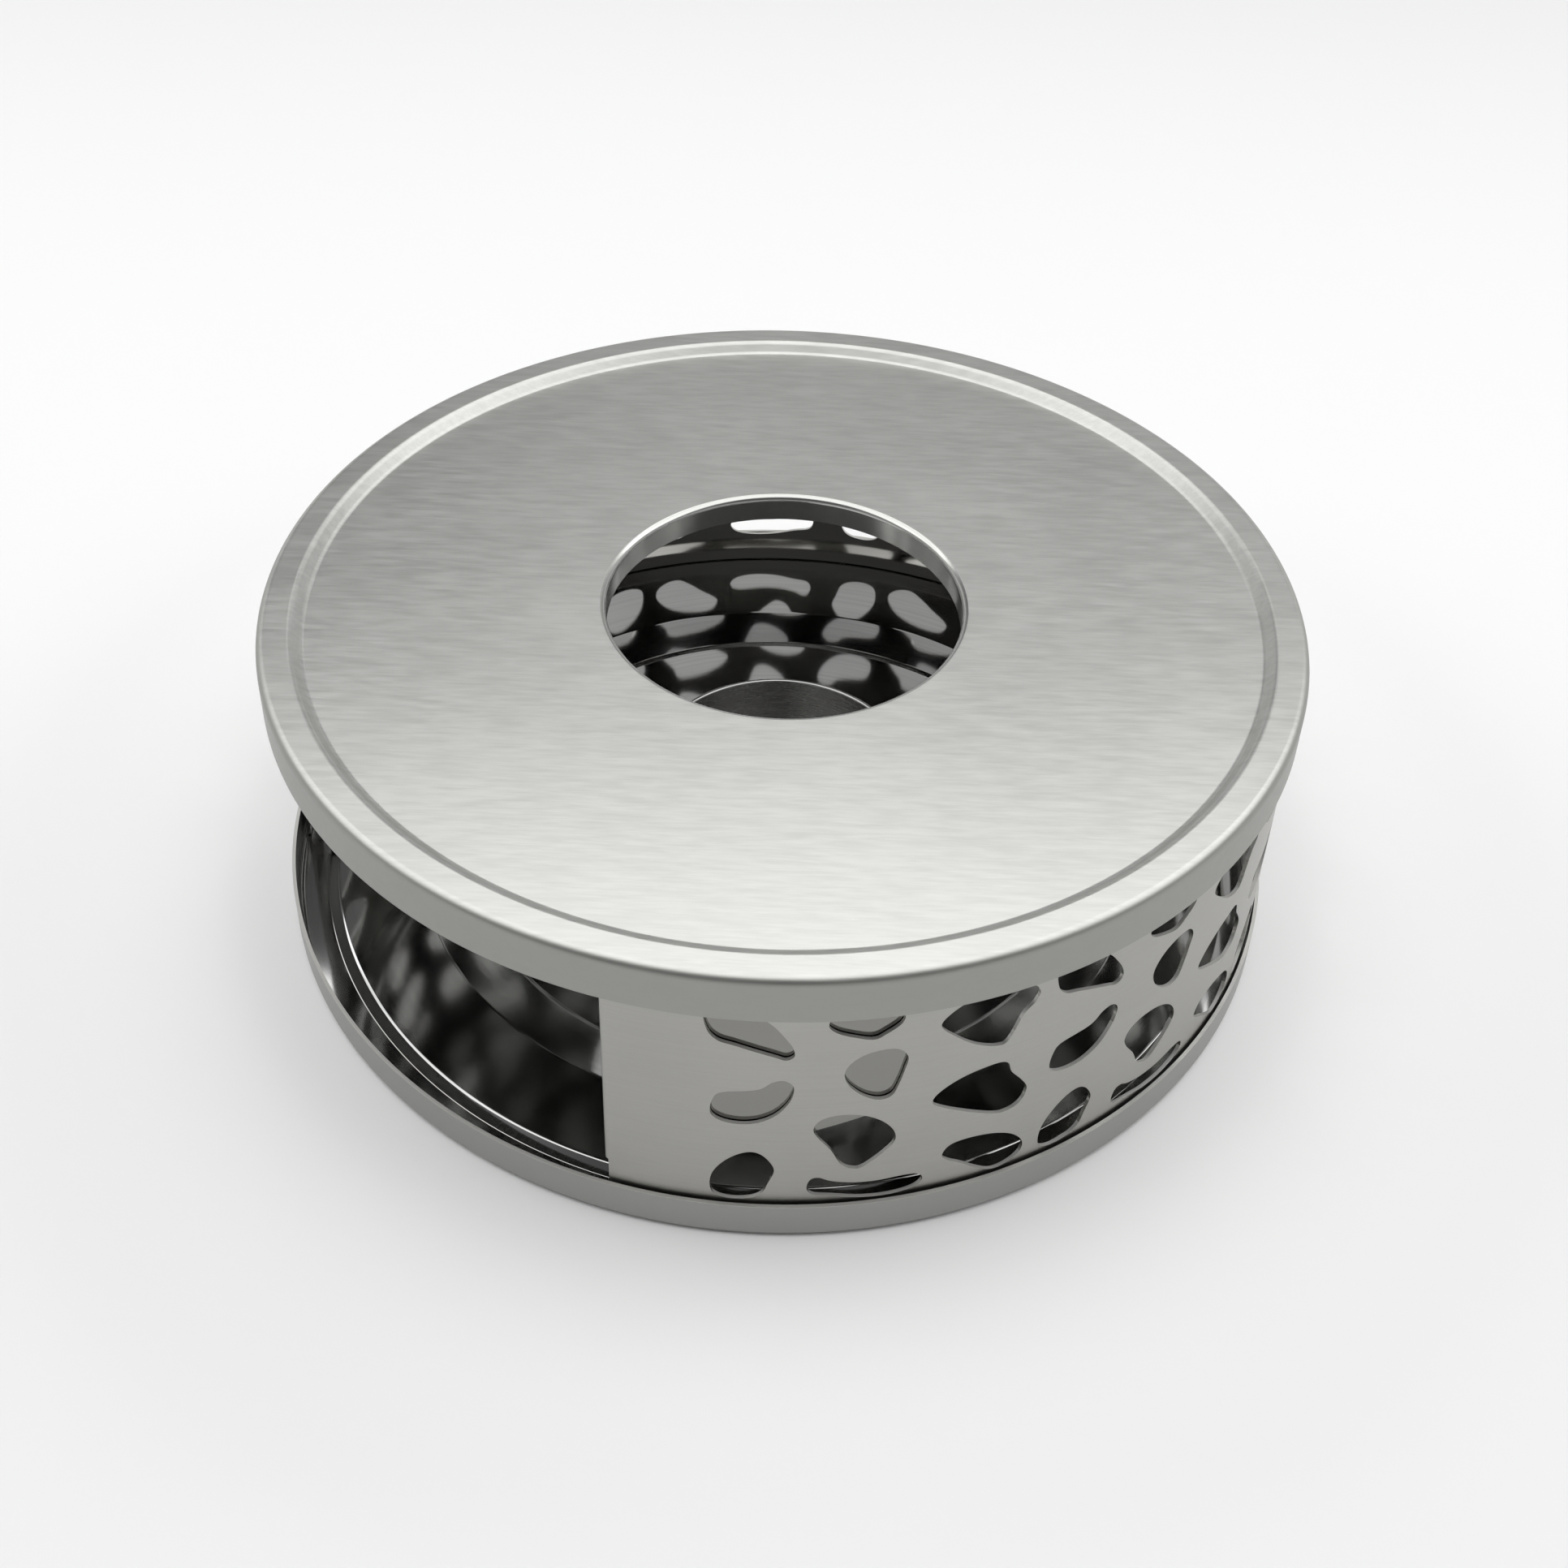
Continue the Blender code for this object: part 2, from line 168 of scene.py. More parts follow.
# Roughness of each finish, from one end of its grain to the other where it has two, and what adds to it
COVER_ROUGHNESS = (0.29, 0.35)
COVER_UNDER_ROUGHNESS = 0.1
COVER_DRAWN_ROUGHNESS = 0.22
COVER_CORNER_ADDS = 0.14
COVER_STEP_ADDS = 0.1
WALL_ROUGHNESS = (0.34, 0.42)
WALL_INNER_ROUGHNESS = 0.1
WALL_CUT_ADDS = 0.25
TRAY_ROUGHNESS = 0.05
TRAY_TONE_ADDS = 0.03
TRAY_SATIN_ADDS = 0.32
TRAY_CUT_ADDS = 0.2
CUP_ROUGHNESS = (0.2, 0.3)

# Relief of the grains: how deep it is, and how much each piece shows of it
RELIEF_DEPTH = 0.02 * MM
COVER_RELIEF = 0.05
WALL_RELIEF = 0.08
TRAY_RELIEF = 0.03
CUP_RELIEF = 0.08

# Most of a grain's values lie between these two
GRAIN_SPAN = (0.3, 0.7)
WIDE_GRAIN_SPAN = (0.25, 0.75)

# Where one finish passes into the next, and where the painted shade and painted highlights lie:
# distances from the axis, and heights for the cut rim
CORNER_ZONE = (OBJECT_RADIUS - 1.5 * MM, OBJECT_RADIUS - 0.8 * MM)
STEP_START = (OBJECT_RADIUS - 9.0 * MM, OBJECT_RADIUS - 8.0 * MM)
STEP_END = (OBJECT_RADIUS - 2.0 * MM, OBJECT_RADIUS - 3.0 * MM)
SKIRT_INSIDE = (OBJECT_RADIUS - 5.0 * MM, OBJECT_RADIUS - 3.0 * MM)
COLLAR_BACK = (COVER_HOLE_RADIUS + 4.1 * MM, COVER_HOLE_RADIUS + 2.1 * MM)
COLLAR_BEND = (COVER_HOLE_RADIUS + 1.0 * MM, COVER_HOLE_RADIUS + 0.6 * MM)
BEHIND_WALL = (WALL_INSIDE - 0.02 * MM, WALL_INSIDE - 0.1 * MM)
SATIN_RIM = (OBJECT_RADIUS - 0.8 * MM, OBJECT_RADIUS - 0.3 * MM)
RIM_TOP = (TRAY_RIM_HEIGHT - 0.08 * MM, TRAY_RIM_HEIGHT - 0.02 * MM)
RINGED_FLOOR = (OBJECT_RADIUS - 1.2 * MM, OBJECT_RADIUS - 1.6 * MM)

# How far a face looks away from the axis or up, as the share of its normal
SKIRT_LOOKS_OUT = (0.3, 0.8)
CORNER_LOOKS_OUT = (0.0, 0.4)
COLLAR_LOOKS_OUT = (0.3, 0.6)
SKIRT_LOOKS_IN = (-0.3, -0.6)
WALL_LOOKS_IN = (0.2, -0.2)
UNDER_LOOKS_DOWN = (-0.2, -0.5)
STEP_LOOKS_ASIDE = (0.95, 0.85)
EDGE_LOOKS_UP = (0.3, 0.7)

# Sockets of the colour Mix node, whose names its other kinds of value share
MIX_FACTOR = 0
MIX_FIRST = 6
MIX_SECOND = 7
MIX_RESULT = 2


# Shader trees

class Wire:
    """A node output that arithmetic can be done on. Each operation adds its own Math node."""

    def __init__(self, tree, socket=None):
        self.tree = tree
        self.socket = socket

    def node(self, kind, settings=None, inputs=None, output=0):
        """Adds a node of any type with its settings and its input values or links."""
        node = self.tree.nodes.new(kind)
        for key, value in (settings or {}).items():
            setattr(node, key, value)
        for key, value in (inputs or {}).items():
            self.feed(node.inputs[key], value)
        return Wire(self.tree, node.outputs[output])

    def feed(self, socket, value):
        if isinstance(value, Wire):
            self.tree.links.new(value.socket, socket)
        else:
            socket.default_value = value

    def math(self, operation, *values):
        inputs = dict(enumerate(values))
        return self.node("ShaderNodeMath", {"operation": operation}, inputs)

    def __add__(self, other):
        return self.math("ADD", self, other)

    def __radd__(self, other):
        return self.math("ADD", other, self)

    def __sub__(self, other):
        return self.math("SUBTRACT", self, other)

    def __rsub__(self, other):
        return self.math("SUBTRACT", other, self)

    def __mul__(self, other):
        return self.math("MULTIPLY", self, other)

    def __rmul__(self, other):
        return self.math("MULTIPLY", other, self)

    def __truediv__(self, other):
        return self.math("DIVIDE", self, other)

    def __rtruediv__(self, other):
        return self.math("DIVIDE", other, self)

    def between(self, low, high, start=0.0, end=1.0):
        """Smoothly from start to end as the value goes from low to high."""
        settings = {"interpolation_type": "SMOOTHSTEP"}
        inputs = {"Value": self, "From Min": low, "From Max": high, "To Min": start, "To Max": end}
        return self.node("ShaderNodeMapRange", settings, inputs)


def split(wire, vector):
    return [wire.node("ShaderNodeSeparateXYZ", None, {0: vector}, axis) for axis in range(3)]


def joined(wire, x, y, z=0.0):
    return wire.node("ShaderNodeCombineXYZ", None, {0: x, 1: y, 2: z})


def grain(wire, coordinates, waves, manner):
    """Noise with its own number of waves along each coordinate."""
    stretched = [coordinate * count for coordinate, count in zip(coordinates, waves)]
    inputs = {"Vector": joined(wire, *stretched), "Scale": 1.0, **manner}
    return wire.node("ShaderNodeTexNoise", {"noise_dimensions": "3D"}, inputs)


def tinted(wire, low, high, amount):
    """A colour between two, each a wire or plain numbers, for the Base Color."""
    first, second = (end if isinstance(end, Wire) else (*end, 1.0) for end in (low, high))
    inputs = {MIX_FACTOR: amount, MIX_FIRST: first, MIX_SECOND: second}
    return wire.node("ShaderNodeMix", {"data_type": "RGBA"}, inputs, MIX_RESULT)


def relief(wire, shader, strength, height):
    """Roughens the shader's normal with a height."""
    inputs = {"Strength": strength, "Distance": RELIEF_DEPTH, "Height": height}
    wire.feed(shader.inputs["Normal"], wire.node("ShaderNodeBump", None, inputs))


def metal(name, plain_roughness):
    """A steel material, its shader and a wire to start from. A grain replaces the plain roughness."""
    material = bpy.data.materials.new(name)
    material.use_nodes = True
    tree = material.node_tree
    shader = tree.nodes["Principled BSDF"]
    shader.inputs["Metallic"].default_value = 1.0
    shader.inputs["Roughness"].default_value = plain_roughness
    return material, shader, Wire(tree)


def polar(wire):
    """Object coordinates x, y and z, and the distance from the axis."""
    x, y, z = split(wire, wire.node("ShaderNodeTexCoord", output="Object"))
    return x, y, z, wire.math("SQRT", x * x + y * y)


def turn(wire, x, y):
    """The angle round the axis."""
    return wire.math("ARCTAN2", y, x)


def facing(wire, x, y, radius):
    """How far a face looks away from the axis, and how far it looks up."""
    across, along, upward = split(wire, wire.node("ShaderNodeTexCoord", output="Normal"))
    return (across * x + along * y) / radius, upward


def cover_material():
    """Stainless sheet with fine straight brush lines on its show side, a bright under side and a
    painted shade on its skirt.
    """
    material, shader, wire = metal("cover_brushed", 0.3)
    x, y, z, radius = polar(wire)
    outward, upward = facing(wire, x, y, radius)
    along = x * math.cos(PHOTO_TURN) + y * math.sin(PHOTO_TURN)
    across = y * math.cos(PHOTO_TURN) - x * math.sin(PHOTO_TURN)
    hair = grain(wire, (along, across, z), COVER_HAIR, FINE)
    streaks = grain(wire, (along, across, z), COVER_STREAKS, SOFT)
    clouds = grain(wire, (along, across, z), COVER_CLOUDS, SOFT)
    tone = hair * 0.35 + streaks * 0.45 + clouds * 0.2
    skirt_inside = outward.between(*SKIRT_LOOKS_IN) * radius.between(*SKIRT_INSIDE)
    collar_back = outward.between(*COLLAR_LOOKS_OUT) * radius.between(*COLLAR_BACK)
    under = wire.math("MAXIMUM", upward.between(*UNDER_LOOKS_DOWN), skirt_inside + collar_back)
    drawn = radius.between(*COLLAR_BEND) * (1.0 - under)
    brushed = 1.0 - wire.math("MAXIMUM", under, drawn)
    rounded_edge = radius.between(*CORNER_ZONE)
    # Painted shade: the skirt's face gets a darker steel colour, standing in for the dim reflection it
    # shows
    skirt = outward.between(*SKIRT_LOOKS_OUT) * rounded_edge
    corner = outward.between(*CORNER_LOOKS_OUT) * rounded_edge
    step = upward.between(*STEP_LOOKS_ASIDE) * radius.between(*STEP_START) * radius.between(*STEP_END)
    shade = 0.5 + (tone.between(*GRAIN_SPAN) - 0.5) * brushed
    colour = tinted(wire, *COVER_TONES, shade)
    wire.feed(shader.inputs["Base Color"], tinted(wire, colour, SKIRT_PAINTED_SHADE, skirt))
    rough = tone.between(*WIDE_GRAIN_SPAN, *COVER_ROUGHNESS) * brushed
    smooth = under * COVER_UNDER_ROUGHNESS + drawn * COVER_DRAWN_ROUGHNESS
    added = corner * COVER_CORNER_ADDS + step * COVER_STEP_ADDS
    wire.feed(shader.inputs["Roughness"], rough + smooth + added)
    relief(wire, shader, COVER_RELIEF, (hair * 0.6 + streaks * 0.4) * brushed)
    return material


def wall_material():
    """Satin stainless strip with faint lines along it, a little warm, and bright on its inner face; the
    hem's face behind the pebbles has a painted shade and the cut edges that look up a painted
    highlight.
    """
    material, shader, wire = metal("wall_satin", 0.28)
    x, y, z, radius = polar(wire)
    outward, upward = facing(wire, x, y, radius)
    hair = grain(wire, (turn(wire, x, y), z, radius), WALL_HAIR, FINE)
    clouds = grain(wire, (x, y, z), WALL_CLOUDS, SOFT)
    tone = hair * 0.5 + clouds * 0.5
    # Painted shade on the hem's face behind the pebbles, in the recess behind the strip; its smooth
    # inner finish is real
    folded = radius.between(*BEHIND_WALL)
    inner = wire.math("MAXIMUM", outward.between(*WALL_LOOKS_IN), folded)
    # Painted highlight: cut edges that look up get a lighter colour; their extra roughness is real
    cut = upward.between(*EDGE_LOOKS_UP)
    colour = tinted(wire, *WALL_TONES, tone.between(*GRAIN_SPAN))
    dressed = tinted(wire, colour, HEM_PAINTED_SHADE, folded)
    wire.feed(shader.inputs["Base Color"], tinted(wire, dressed, CUT_PAINTED_HIGHLIGHT, cut))
    rough = tone.between(*GRAIN_SPAN, *WALL_ROUGHNESS)
    smoothed = rough + (WALL_INNER_ROUGHNESS - rough) * inner * (1.0 - cut)
    wire.feed(shader.inputs["Roughness"], smoothed + cut * WALL_CUT_ADDS)
    relief(wire, shader, WALL_RELIEF, hair * (1.0 - inner))
    return material


def tray_material():
    """Bright rolled sheet: a near mirror inside, with faint drawing rings and a satin rim, whose darker
    colour is a painted shade, and a painted highlight on the rim's cut top.
    """
    material, shader, wire = metal("tray_mirror", TRAY_ROUGHNESS)
    x, y, z, radius = polar(wire)
    rings = grain(wire, (turn(wire, x, y), radius), TRAY_RINGS, SOFT)
    clouds = grain(wire, (x, y, z), TRAY_CLOUDS, SOFT)
    tone = rings * 0.5 + clouds * 0.5
    satin = radius.between(*SATIN_RIM)
    # Painted highlight: the cut top of the rim gets a lighter colour; its extra roughness is real
    cut = z.between(*RIM_TOP)
    colour = tinted(wire, *TRAY_TONES, tone.between(*GRAIN_SPAN))
    # Painted shade: the satin rim is painted darker, standing in for the dim reflection of the shadowed
    # floor; its satin roughness is real
    dressed = tinted(wire, colour, RIM_PAINTED_SHADE, satin * 0.85)
    wire.feed(shader.inputs["Base Color"], tinted(wire, dressed, CUT_PAINTED_HIGHLIGHT, cut))
    rough = TRAY_ROUGHNESS + tone * TRAY_TONE_ADDS
    wire.feed(shader.inputs["Roughness"], rough + satin * TRAY_SATIN_ADDS + cut * TRAY_CUT_ADDS)
    relief(wire, shader, TRAY_RELIEF, rings * radius.between(*RINGED_FLOOR))
    return material


def cup_material():
    """Thin drawn sheet, smoother than the cover, with faint drawing lines."""
    material, shader, wire = metal("cup_drawn", 0.2)
    x, y, z, radius = polar(wire)
    lines = grain(wire, (turn(wire, x, y), z, radius), CUP_LINES, FINE)
    clouds = grain(wire, (x, y, z), CUP_CLOUDS, SOFT)
    tone = lines * 0.5 + clouds * 0.5
    colour = tinted(wire, *CUP_TONES, tone.between(*GRAIN_SPAN))
    wire.feed(shader.inputs["Base Color"], colour)
    wire.feed(shader.inputs["Roughness"], tone.between(*GRAIN_SPAN, *CUP_ROUGHNESS))
    relief(wire, shader, CUP_RELIEF, lines)
    return material


# Meshes: every face comes with the true normals of the bent sheet

def turned(vector, angle):
    cosine = math.cos(angle)
    sine = math.sin(angle)
    return Vector((vector.x * cosine - vector.y * sine, vector.x * sine + vector.y * cosine))


def bent_sheet(corners, thickness):
    """Outline of a bent sheet from its middle line: (point, normal) pairs for its two faces."""
    left = []
    right = []
    points = [Vector(corner[:2]) for corner in corners]
    for index, point in enumerate(points):
        before = points[max(index - 1, 0)]
        after = points[min(index + 1, len(points) - 1)]
        incoming = (point - before) if index > 0 else (after - point)
        outgoing = (after - point) if index < len(points) - 1 else incoming
        incoming = incoming.normalized()
        outgoing = outgoing.normalized()
        normal = Vector((-incoming.y, incoming.x))
        bend_angle = math.atan2(normal.dot(outgoing), incoming.dot(outgoing))
        side = 1.0 if bend_angle > 0.0 else -1.0
        bend = corners[index][2]
        start = point - incoming * bend * math.tan(abs(bend_angle) / 2.0)
        centre = start + normal * side * bend
        fans = math.ceil(abs(bend_angle) / BEND_FAN - FAN_SLACK)
        for fan in range(fans + 1):
            across = turned(normal, bend_angle * fan / max(fans, 1))
            middle = centre - across * side * bend
            left.append((middle + across * thickness / 2.0, across))
            right.append((middle - across * thickness / 2.0, -across))
    return left, right[::-1]


def add_piece(name, shape, body, node, material):
    """One dressed piece with its own corner normals, riding on its body in place of its node."""
    vertices, faces, normals = shape
    mesh = bpy.data.meshes.new(name)
    mesh.from_pydata(vertices, [], faces)
    mesh.polygons.foreach_set("use_smooth", [True] * len(mesh.polygons))
    mesh.normals_split_custom_set(normals)
    mesh.materials.append(material)
    mesh.update()
    piece = bpy.data.objects.new(name, mesh)
    bpy.context.scene.collection.objects.link(piece)
    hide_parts(node)
    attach(piece, body)


def revolved(sides, height):
    """Vertices, faces and corner normals of a solid of revolution about Z."""
    left, right = sides
    outline = left + right
    vertices = []
    rings = []
    for index, (point, _) in enumerate(outline):
        if index > 0 and (point - outline[index - 1][0]).length < WELD:
            rings.append(rings[-1])
            continue
        count = 1 if point.x < WELD else ROUND_STEPS
        first = len(vertices)
        for step in range(count):
            angle = math.tau * step / ROUND_STEPS
            across = point.x * math.cos(angle)
            along = point.x * math.sin(angle)
            vertices.append((across, along, point.y + height))
        rings.append([first + step % count for step in range(ROUND_STEPS)])
    faces = []
    normals = []
    for index, (point, normal) in enumerate(outline):
        following = (index + 1) % len(outline)
        further, other = outline[following]
        ring = rings[index]
        next_ring = rings[following]
        if ring is next_ring or max(point.x, further.x) < WELD:
            continue
        if index == len(left) - 1 or following == 0:
            edge = (further - point).normalized()
            normal = other = Vector((-edge.y, edge.x))
        for step in range(ROUND_STEPS):
            onward = (step + 1) % ROUND_STEPS
            face = [ring[step], next_ring[step], next_ring[onward], ring[onward]]
            looks = [(normal, step), (other, step), (other, step + 1), (normal, step + 1)]
            if point.x < WELD:
                del face[3], looks[3]
            elif further.x < WELD:
                del face[2], looks[2]
            faces.append(face)
            for way, place in looks:
                angle = math.tau * place / ROUND_STEPS
                normals.append((way.x * math.cos(angle), way.x * math.sin(angle), way.y))
    return vertices, faces, normals


def cover_sides():
    half = SHEET / 2.0
    skirt = OBJECT_RADIUS - half
    step = OBJECT_RADIUS - COVER_RING_WIDTH
    plate = -COVER_RECESS - half
    collar = COVER_HOLE_RADIUS + half
    corners = (
        (skirt, -COVER_SKIRT, 0.0),
        (skirt, -half, CORNER_BEND),
        (step, -half, COVER_STEP_TOP_BEND),
        (step - COVER_STEP_WIDTH, plate, COVER_STEP_FOOT_BEND),
        (collar, plate, COVER_HOLE_BEND),
        (collar, -COVER_RECESS - COVER_COLLAR_DEPTH, 0.0),
    )
    return bent_sheet(corners, SHEET)


def tray_sides():
    half = SHEET / 2.0
    rim = OBJECT_RADIUS - half
    step_foot = OBJECT_RADIUS - TRAY_RING_WIDTH
    plateau = half + TRAY_PLATEAU_RISE
    dish_foot = TRAY_DISH_RADIUS - TRAY_DISH_SLOPE_WIDTH
    corners = (
        (rim, TRAY_RIM_HEIGHT, 0.0),
        (rim, half, CORNER_BEND),
        (step_foot, half, SMALL_BEND),
        (step_foot - TRAY_STEP_WIDTH, plateau, SMALL_BEND),
        (TRAY_DISH_RADIUS, plateau, TRAY_DISH_BEND),
        (dish_foot, half + TRAY_DISH_STEP, TRAY_DISH_STEP_BEND),
        (dish_foot - TRAY_DISH_STEP_WIDTH, half, TRAY_DISH_STEP_BEND),
        (0.0, half, 0.0),
    )
    return bent_sheet(corners, SHEET)


def cup_sides():
    half = CUP_SHEET / 2.0
    edge = CUP_RADIUS - half
    side = edge - 2.0 * CUP_EDGE_BEND
    top = CUP_HEIGHT - half
    corners = (
        (edge, CUP_HEIGHT - CUP_EDGE_DEPTH, 0.0),
        (edge, top, CUP_EDGE_BEND),
        (side, top, CUP_EDGE_BEND),
        (side, half, CUP_BASE_BEND),
        (0.0, half, 0.0),
    )
    return bent_sheet(corners, CUP_SHEET)


def rounded(points):
    """A smooth closed loop through the points of one pebble, anticlockwise."""
    area = 0.0
    for point, following in zip(points, points[1:] + points[:1]):
        area += point.x * following.y - following.x * point.y
    if area < 0.0:
        points = points[::-1]
    count = len(points)
    loop = []
    for index in range(count):
        a, b, c, d = (points[(index + shift - 1) % count] for shift in range(4))
        for part in range(PEBBLE_PARTS):
            t = part / PEBBLE_PARTS
            pull = (a * -1.0 + b * 3.0 - c * 3.0 + d) * t * t * t
            ease = (a * 2.0 - b * 5.0 + c * 4.0 - d) * t * t
            loop.append((b * 2.0 + (c - a) * t + ease + pull) / 2.0)
    return loop


def wall_blank():
    """Outline of the flat strip: along it from the fold, and height above its lower edge."""
    fold = -FOLD_LENGTH / 2.0
    flap_end = -FOLD_LENGTH - FLAP_LENGTH
    flap_top = WALL_HEIGHT - HEM_TOP_SETBACK
    corners = (
        (0.0, 0.0),
        (STRIP_LENGTH, 0.0),
        (STRIP_LENGTH, WALL_HEIGHT),
        (0.0, WALL_HEIGHT),
        (fold, flap_top),
        (flap_end, flap_top),
        (flap_end, HEM_LOW_AT_END),
        (fold, HEM_LOW_AT_FOLD),
        (0.0, HEM_LOW_AT_FOLD),
    )
    return [Vector(corner) for corner in corners]


def wall_pebbles():
    """The punched outlines on the flat strip: as many repeats as fit, stretched to fill it."""
    across = [x for pebble in PEBBLES for x, z in pebble]
    upward = [z for pebble in PEBBLES for x, z in pebble]
    pattern_width = (max(across) - min(across)) * MM
    pattern_height = (max(upward) - min(upward)) * MM
    start = LEAD_MARGIN - FOLD_REACH
    usable = STRIP_LENGTH - start - TAIL_MARGIN + TILE_GAP
    tiles = max(1, round(usable / (pattern_width + TILE_GAP)))
    pitch = usable / tiles
    stretch = (pitch - TILE_GAP) / pattern_width
    rise = (WALL_HEIGHT - LOW_MARGIN - TOP_MARGIN) / pattern_height
    loops = []
    for tile in range(tiles):
        for pebble in PEBBLES:
            points = []
            for x, z in pebble:
                along = start + tile * pitch + (x - min(across)) * MM * stretch
                points.append(Vector((along, LOW_MARGIN + (z - min(upward)) * MM * rise)))
            loops.append(rounded(points))
    return loops


def wall_bend_lines():
    """Places along the flat strip where it bends: on the roll, round the fold and on the flap."""
    facets = math.ceil(ROLLED_ANGLE / WALL_FACET)
    facet = ROLLED_ANGLE / facets
    flap_facets = int(FLAP_LENGTH / FLAP_MIDDLE / facet)
    lines = [facet * WALL_MIDDLE * line for line in range(facets)]
    lines += [-FOLD_LENGTH * line / FOLD_FACETS for line in range(1, FOLD_FACETS + 1)]
    lines += [-FOLD_LENGTH - facet * FLAP_MIDDLE * line for line in range(1, flap_facets + 1)]
    return lines


def rolled(along, height, depth):
    """Place on the finished wall of a point of the blank, depth counted outwards."""
    z = height + WALL_LOW
    if 0.0 > along > -FOLD_LENGTH:
        bend = -along / FOLD_RADIUS
        radial = Vector((math.sin(LEAD_ANGLE), -math.cos(LEAD_ANGLE), 0.0))
        sideways = Vector((math.cos(LEAD_ANGLE), math.sin(LEAD_ANGLE), 0.0))
        arm = FOLD_RADIUS + depth
        outward = WALL_MIDDLE - FOLD_RADIUS + math.cos(bend) * arm
        return radial * outward - sideways * math.sin(bend) * arm + Vector((0.0, 0.0, z))
    if along >= 0.0:
        angle = LEAD_ANGLE + along / WALL_MIDDLE
        radius = WALL_MIDDLE + depth
    else:
        angle = LEAD_ANGLE + (-along - FOLD_LENGTH) / FLAP_MIDDLE
        radius = FLAP_MIDDLE - depth
    return Vector((radius * math.sin(angle), -radius * math.cos(angle), z))


def wall_mesh():
    """The strip with its pebbles and folded hem, rolled round, with the true normals of both faces."""
    loops = [wall_blank()] + wall_pebbles()
    corners = [point / MM for loop in loops for point in loop]
    outlines = []
    first = 0
    for loop in loops:
        outlines.append(list(range(first, first + len(loop))))
        first += len(loop)
    bends = []
    for line in wall_bend_lines():
        bends.append((len(corners), len(corners) + 1))
        corners.append(Vector((line, 0.0)) / MM)
        corners.append(Vector((line, WALL_HEIGHT)) / MM)
    cut = delaunay_2d_cdt(corners, bends, outlines, 0, PUNCH_WELD / MM)
    spots, _, triangles, _, _, owners = cut
    sheet = [triangle for triangle, owner in zip(triangles, owners) if owner == [0]]
    used = sorted({spot for triangle in sheet for spot in triangle})
    number = {spot: index for index, spot in enumerate(used)}

    half = SHEET / 2.0
    front = [rolled(spots[spot].x * MM, spots[spot].y * MM, half) for spot in used]
    back = [rolled(spots[spot].x * MM, spots[spot].y * MM, -half) for spot in used]
    outward = [(one - other).normalized() for one, other in zip(front, back)]
    count = len(used)
    faces = []
    normals = []
    open_edges = {}
    for triangle in sheet:
        a, b, c = (number[spot] for spot in triangle)
        faces.append((a, b, c))
        normals += [outward[a], outward[b], outward[c]]
        faces.append((count + c, count + b, count + a))
        normals += [-outward[c], -outward[b], -outward[a]]
        for one, other in ((a, b), (b, c), (c, a)):
            if (other, one) in open_edges:
                del open_edges[other, one]
            else:
                open_edges[one, other] = True
    for one, other in open_edges:
        faces.append((other, one, count + one, count + other))
        flat = (front[other] - front[one]).cross(outward[one]).normalized()
        normals += [flat] * 4
    return front + back, faces, normals


# The four dressed pieces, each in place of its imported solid
add_piece("tray_fine", revolved(tray_sides(), 0.0),
          "stand", "base_tray", tray_material())
add_piece("wall_fine", wall_mesh(),
          "stand", "perforated_wall", wall_material())
add_piece("cover_fine", revolved(cover_sides(), OBJECT_HEIGHT),
          "cover", "top_cover", cover_material())
add_piece("cup_fine", revolved(cup_sides(), SHEET + STANDING_GAP),
          "cup", "candle_cup", cup_material())


# Floor: pale and plain, with painted light that makes it a little brighter close to the warmer, and
# glowing like the background far away
FLOOR_REACH = 6.0
FLOOR_LEVEL = 0.81
FLOOR_PAINTED_LIGHT_LEVEL = 0.94
FLOOR_CLOSE = (85.0 * MM, 125.0 * MM)
FLOOR_FAR = (0.3, 0.8)
FLOOR_ROUGHNESS = 0.9
BACKGROUND_LEVEL = 0.92


def floor_material():
    material = bpy.data.materials.new("floor_pale")
    material.use_nodes = True
    shader = material.node_tree.nodes["Principled BSDF"]
    wire = Wire(material.node_tree)
    distance = polar(wire)[3]
    backdrop = distance.between(*FLOOR_FAR)
    # Painted light: the floor's colour is lighter close to the warmer, lifting the shade round it
    pale = distance.between(*FLOOR_CLOSE, FLOOR_PAINTED_LIGHT_LEVEL, FLOOR_LEVEL) * (1.0 - backdrop)
    glow = backdrop * BACKGROUND_LEVEL
    wire.feed(shader.inputs["Base Color"], joined(wire, pale, pale, pale))
    wire.feed(shader.inputs["Emission Color"], joined(wire, glow, glow, glow))
    shader.inputs["Emission Strength"].default_value = 1.0
    shader.inputs["Roughness"].default_value = FLOOR_ROUGHNESS
    shader.inputs["Specular IOR Level"].default_value = 0.0
    return material


floor_mesh = bpy.data.meshes.new("floor")
floor_signs = ((-1, -1), (1, -1), (1, 1), (-1, 1))
floor_corners = [(x * FLOOR_REACH, y * FLOOR_REACH, 0.0) for x, y in floor_signs]
floor_mesh.from_pydata(floor_corners, [], [(0, 1, 2, 3)])
floor_mesh.materials.append(floor_material())
floor = bpy.data.objects.new("floor", floor_mesh)
bpy.context.scene.collection.objects.link(floor)


def photo_direction(x, y, z):
    """A direction given as the photograph sees it: right, away and up."""
    return Matrix.Rotation(PHOTO_TURN, 3, "Z") @ Vector((x, y, z))


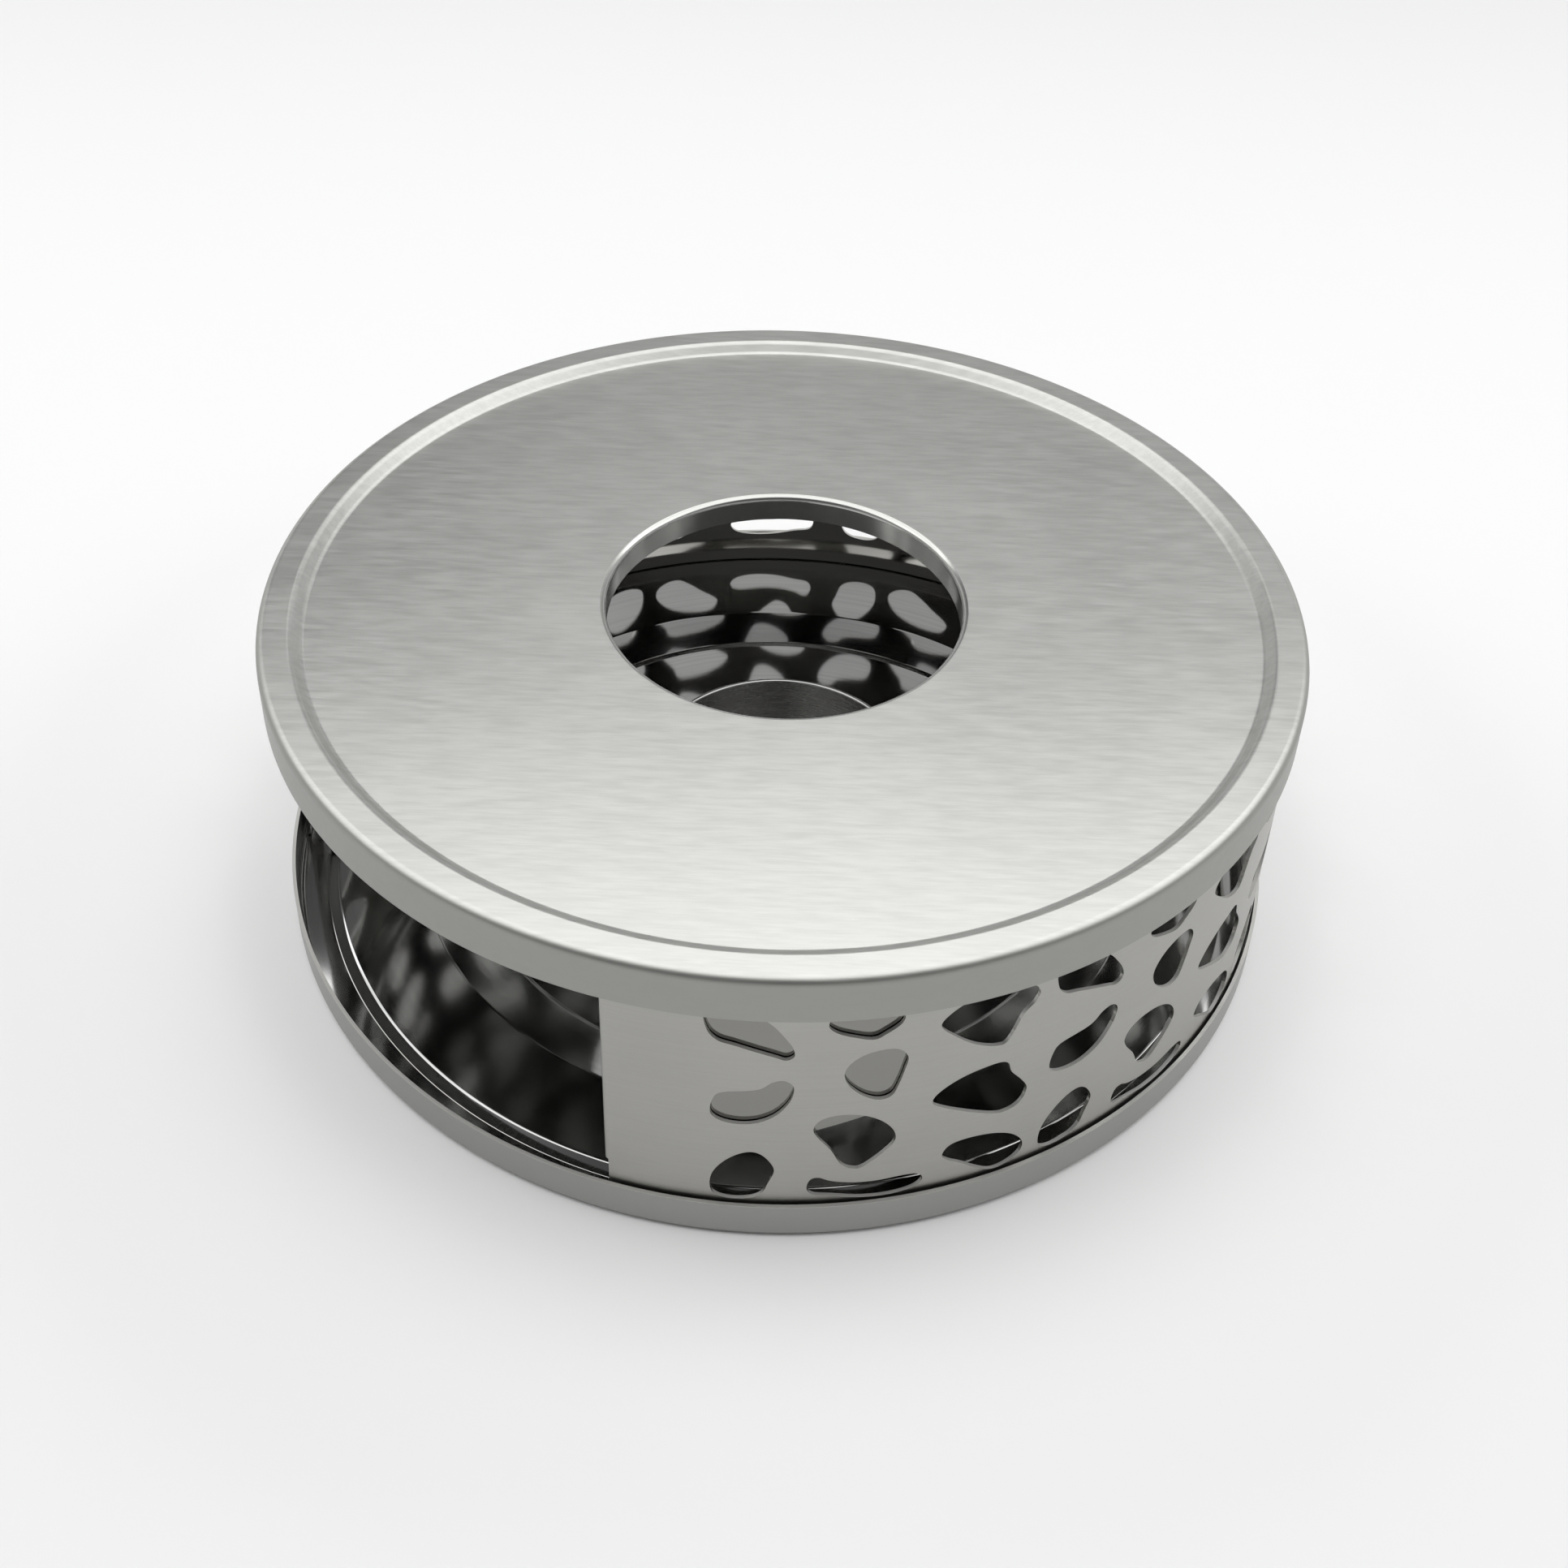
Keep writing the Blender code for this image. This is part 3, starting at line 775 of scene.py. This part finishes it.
# Room, as the photograph's steel mirrors it: dim overhead and towards the camera, lighter behind
# the warmer, darker high up there to the left, a little lighter at both sides, and as bright as the
# background low down. Spans are parts of a direction: its rise, its share away or its share aside.
ROOM_LEVEL = 0.13
BEHIND_LEVELS = (0.45, 0.62)
BEHIND_RISE = (0.3, 0.55)
BEHIND_AWAY = (0.0, 0.35)
LEFT_LEVEL = 0.1
LEFT_ASIDE = (-0.12, -0.22)
LEFT_RISE = (0.3, 0.5)
RIGHT_SHARE = 0.86
RIGHT_ASIDE = (-0.15, 0.15)
SIDES_ADD = 0.12
SIDES_ASIDE_SQUARED = (0.2, 0.5)
SIDES_RISE = (0.9, 0.6)
OVERHEAD_RISE = (0.82, 0.74)
LOW_RISE = (0.2, 0.08)

world = bpy.data.worlds.new("studio")
bpy.context.scene.world = world
world.use_nodes = True
sky = Wire(world.node_tree)
background = world.node_tree.nodes["Background"]
east, north, rise = split(sky, sky.node("ShaderNodeTexCoord", output="Generated"))
away = north * math.cos(PHOTO_TURN) - east * math.sin(PHOTO_TURN)
aside = north * math.sin(PHOTO_TURN) + east * math.cos(PHOTO_TURN)
behind = rise.between(*BEHIND_RISE, *BEHIND_LEVELS)
behind = behind + (LEFT_LEVEL - behind) * aside.between(*LEFT_ASIDE) * rise.between(*LEFT_RISE)
behind = behind * aside.between(*RIGHT_ASIDE, 1.0, RIGHT_SHARE)
sides = (aside * aside).between(*SIDES_ASIDE_SQUARED, 0.0, SIDES_ADD) * rise.between(*SIDES_RISE)
room = ROOM_LEVEL + (behind - ROOM_LEVEL) * away.between(*BEHIND_AWAY) + sides
level = room * rise.between(*OVERHEAD_RISE)
sky.feed(background.inputs["Strength"], level + (BACKGROUND_LEVEL - level) * rise.between(*LOW_RISE))
background.inputs["Color"].default_value = (1.0, 1.0, 1.0, 1.0)

# Ceiling of soft light boards, brightest at the far end: far edge, near edge and brightness of each
CEILING_HEIGHT = 0.6
CEILING_WIDTH = 2.4
CEILING_BOARDS = ((0.5, 0.35, 2.5), (0.35, 0.2, 1.5), (0.2, 0.0, 1.9), (0.0, -0.32, 1.9))
for far, near, brightness in CEILING_BOARDS:
    board_data = bpy.data.lights.new("board", "AREA")
    board_data.shape = "RECTANGLE"
    board_data.size = CEILING_WIDTH
    board_data.size_y = far - near
    board_data.energy = brightness * math.pi * CEILING_WIDTH * (far - near)
    board = bpy.data.objects.new("board", board_data)
    board.location = photo_direction(0.0, (far + near) / 2.0, CEILING_HEIGHT)
    board.rotation_euler = (0.0, 0.0, PHOTO_TURN)
    bpy.context.scene.collection.objects.link(board)


# Camera: the photograph's own, as fitted to the outlines of cover, hole and tray
CAMERA_SENSOR = 36.0
CAMERA_LENS = 47.35
CAMERA_SHIFT = -0.0977
CAMERA_PLACE = (0.664 * MM, -237.255 * MM, 230.49 * MM)
CAMERA_RIGHT = (0.9993907, 0.02321268, 0.0260654)
CAMERA_UP = (-0.03484828, 0.62173092, 0.78245528)
CAMERA_BACK = (0.00195722, -0.78288686, 0.62216102)

camera_data = bpy.data.cameras.new("camera")
camera_data.sensor_fit = "HORIZONTAL"
camera_data.sensor_width = CAMERA_SENSOR
camera_data.lens = CAMERA_LENS
camera_data.shift_y = CAMERA_SHIFT
camera = bpy.data.objects.new("camera", camera_data)
bpy.context.scene.collection.objects.link(camera)
axes = [photo_direction(*axis) for axis in (CAMERA_RIGHT, CAMERA_UP, CAMERA_BACK)]
turn_of_camera = Matrix(axes).transposed().to_4x4()
camera.matrix_world = Matrix.Translation(photo_direction(*CAMERA_PLACE)) @ turn_of_camera
bpy.context.scene.camera = camera

bpy.context.scene.view_settings.view_transform = "Standard"
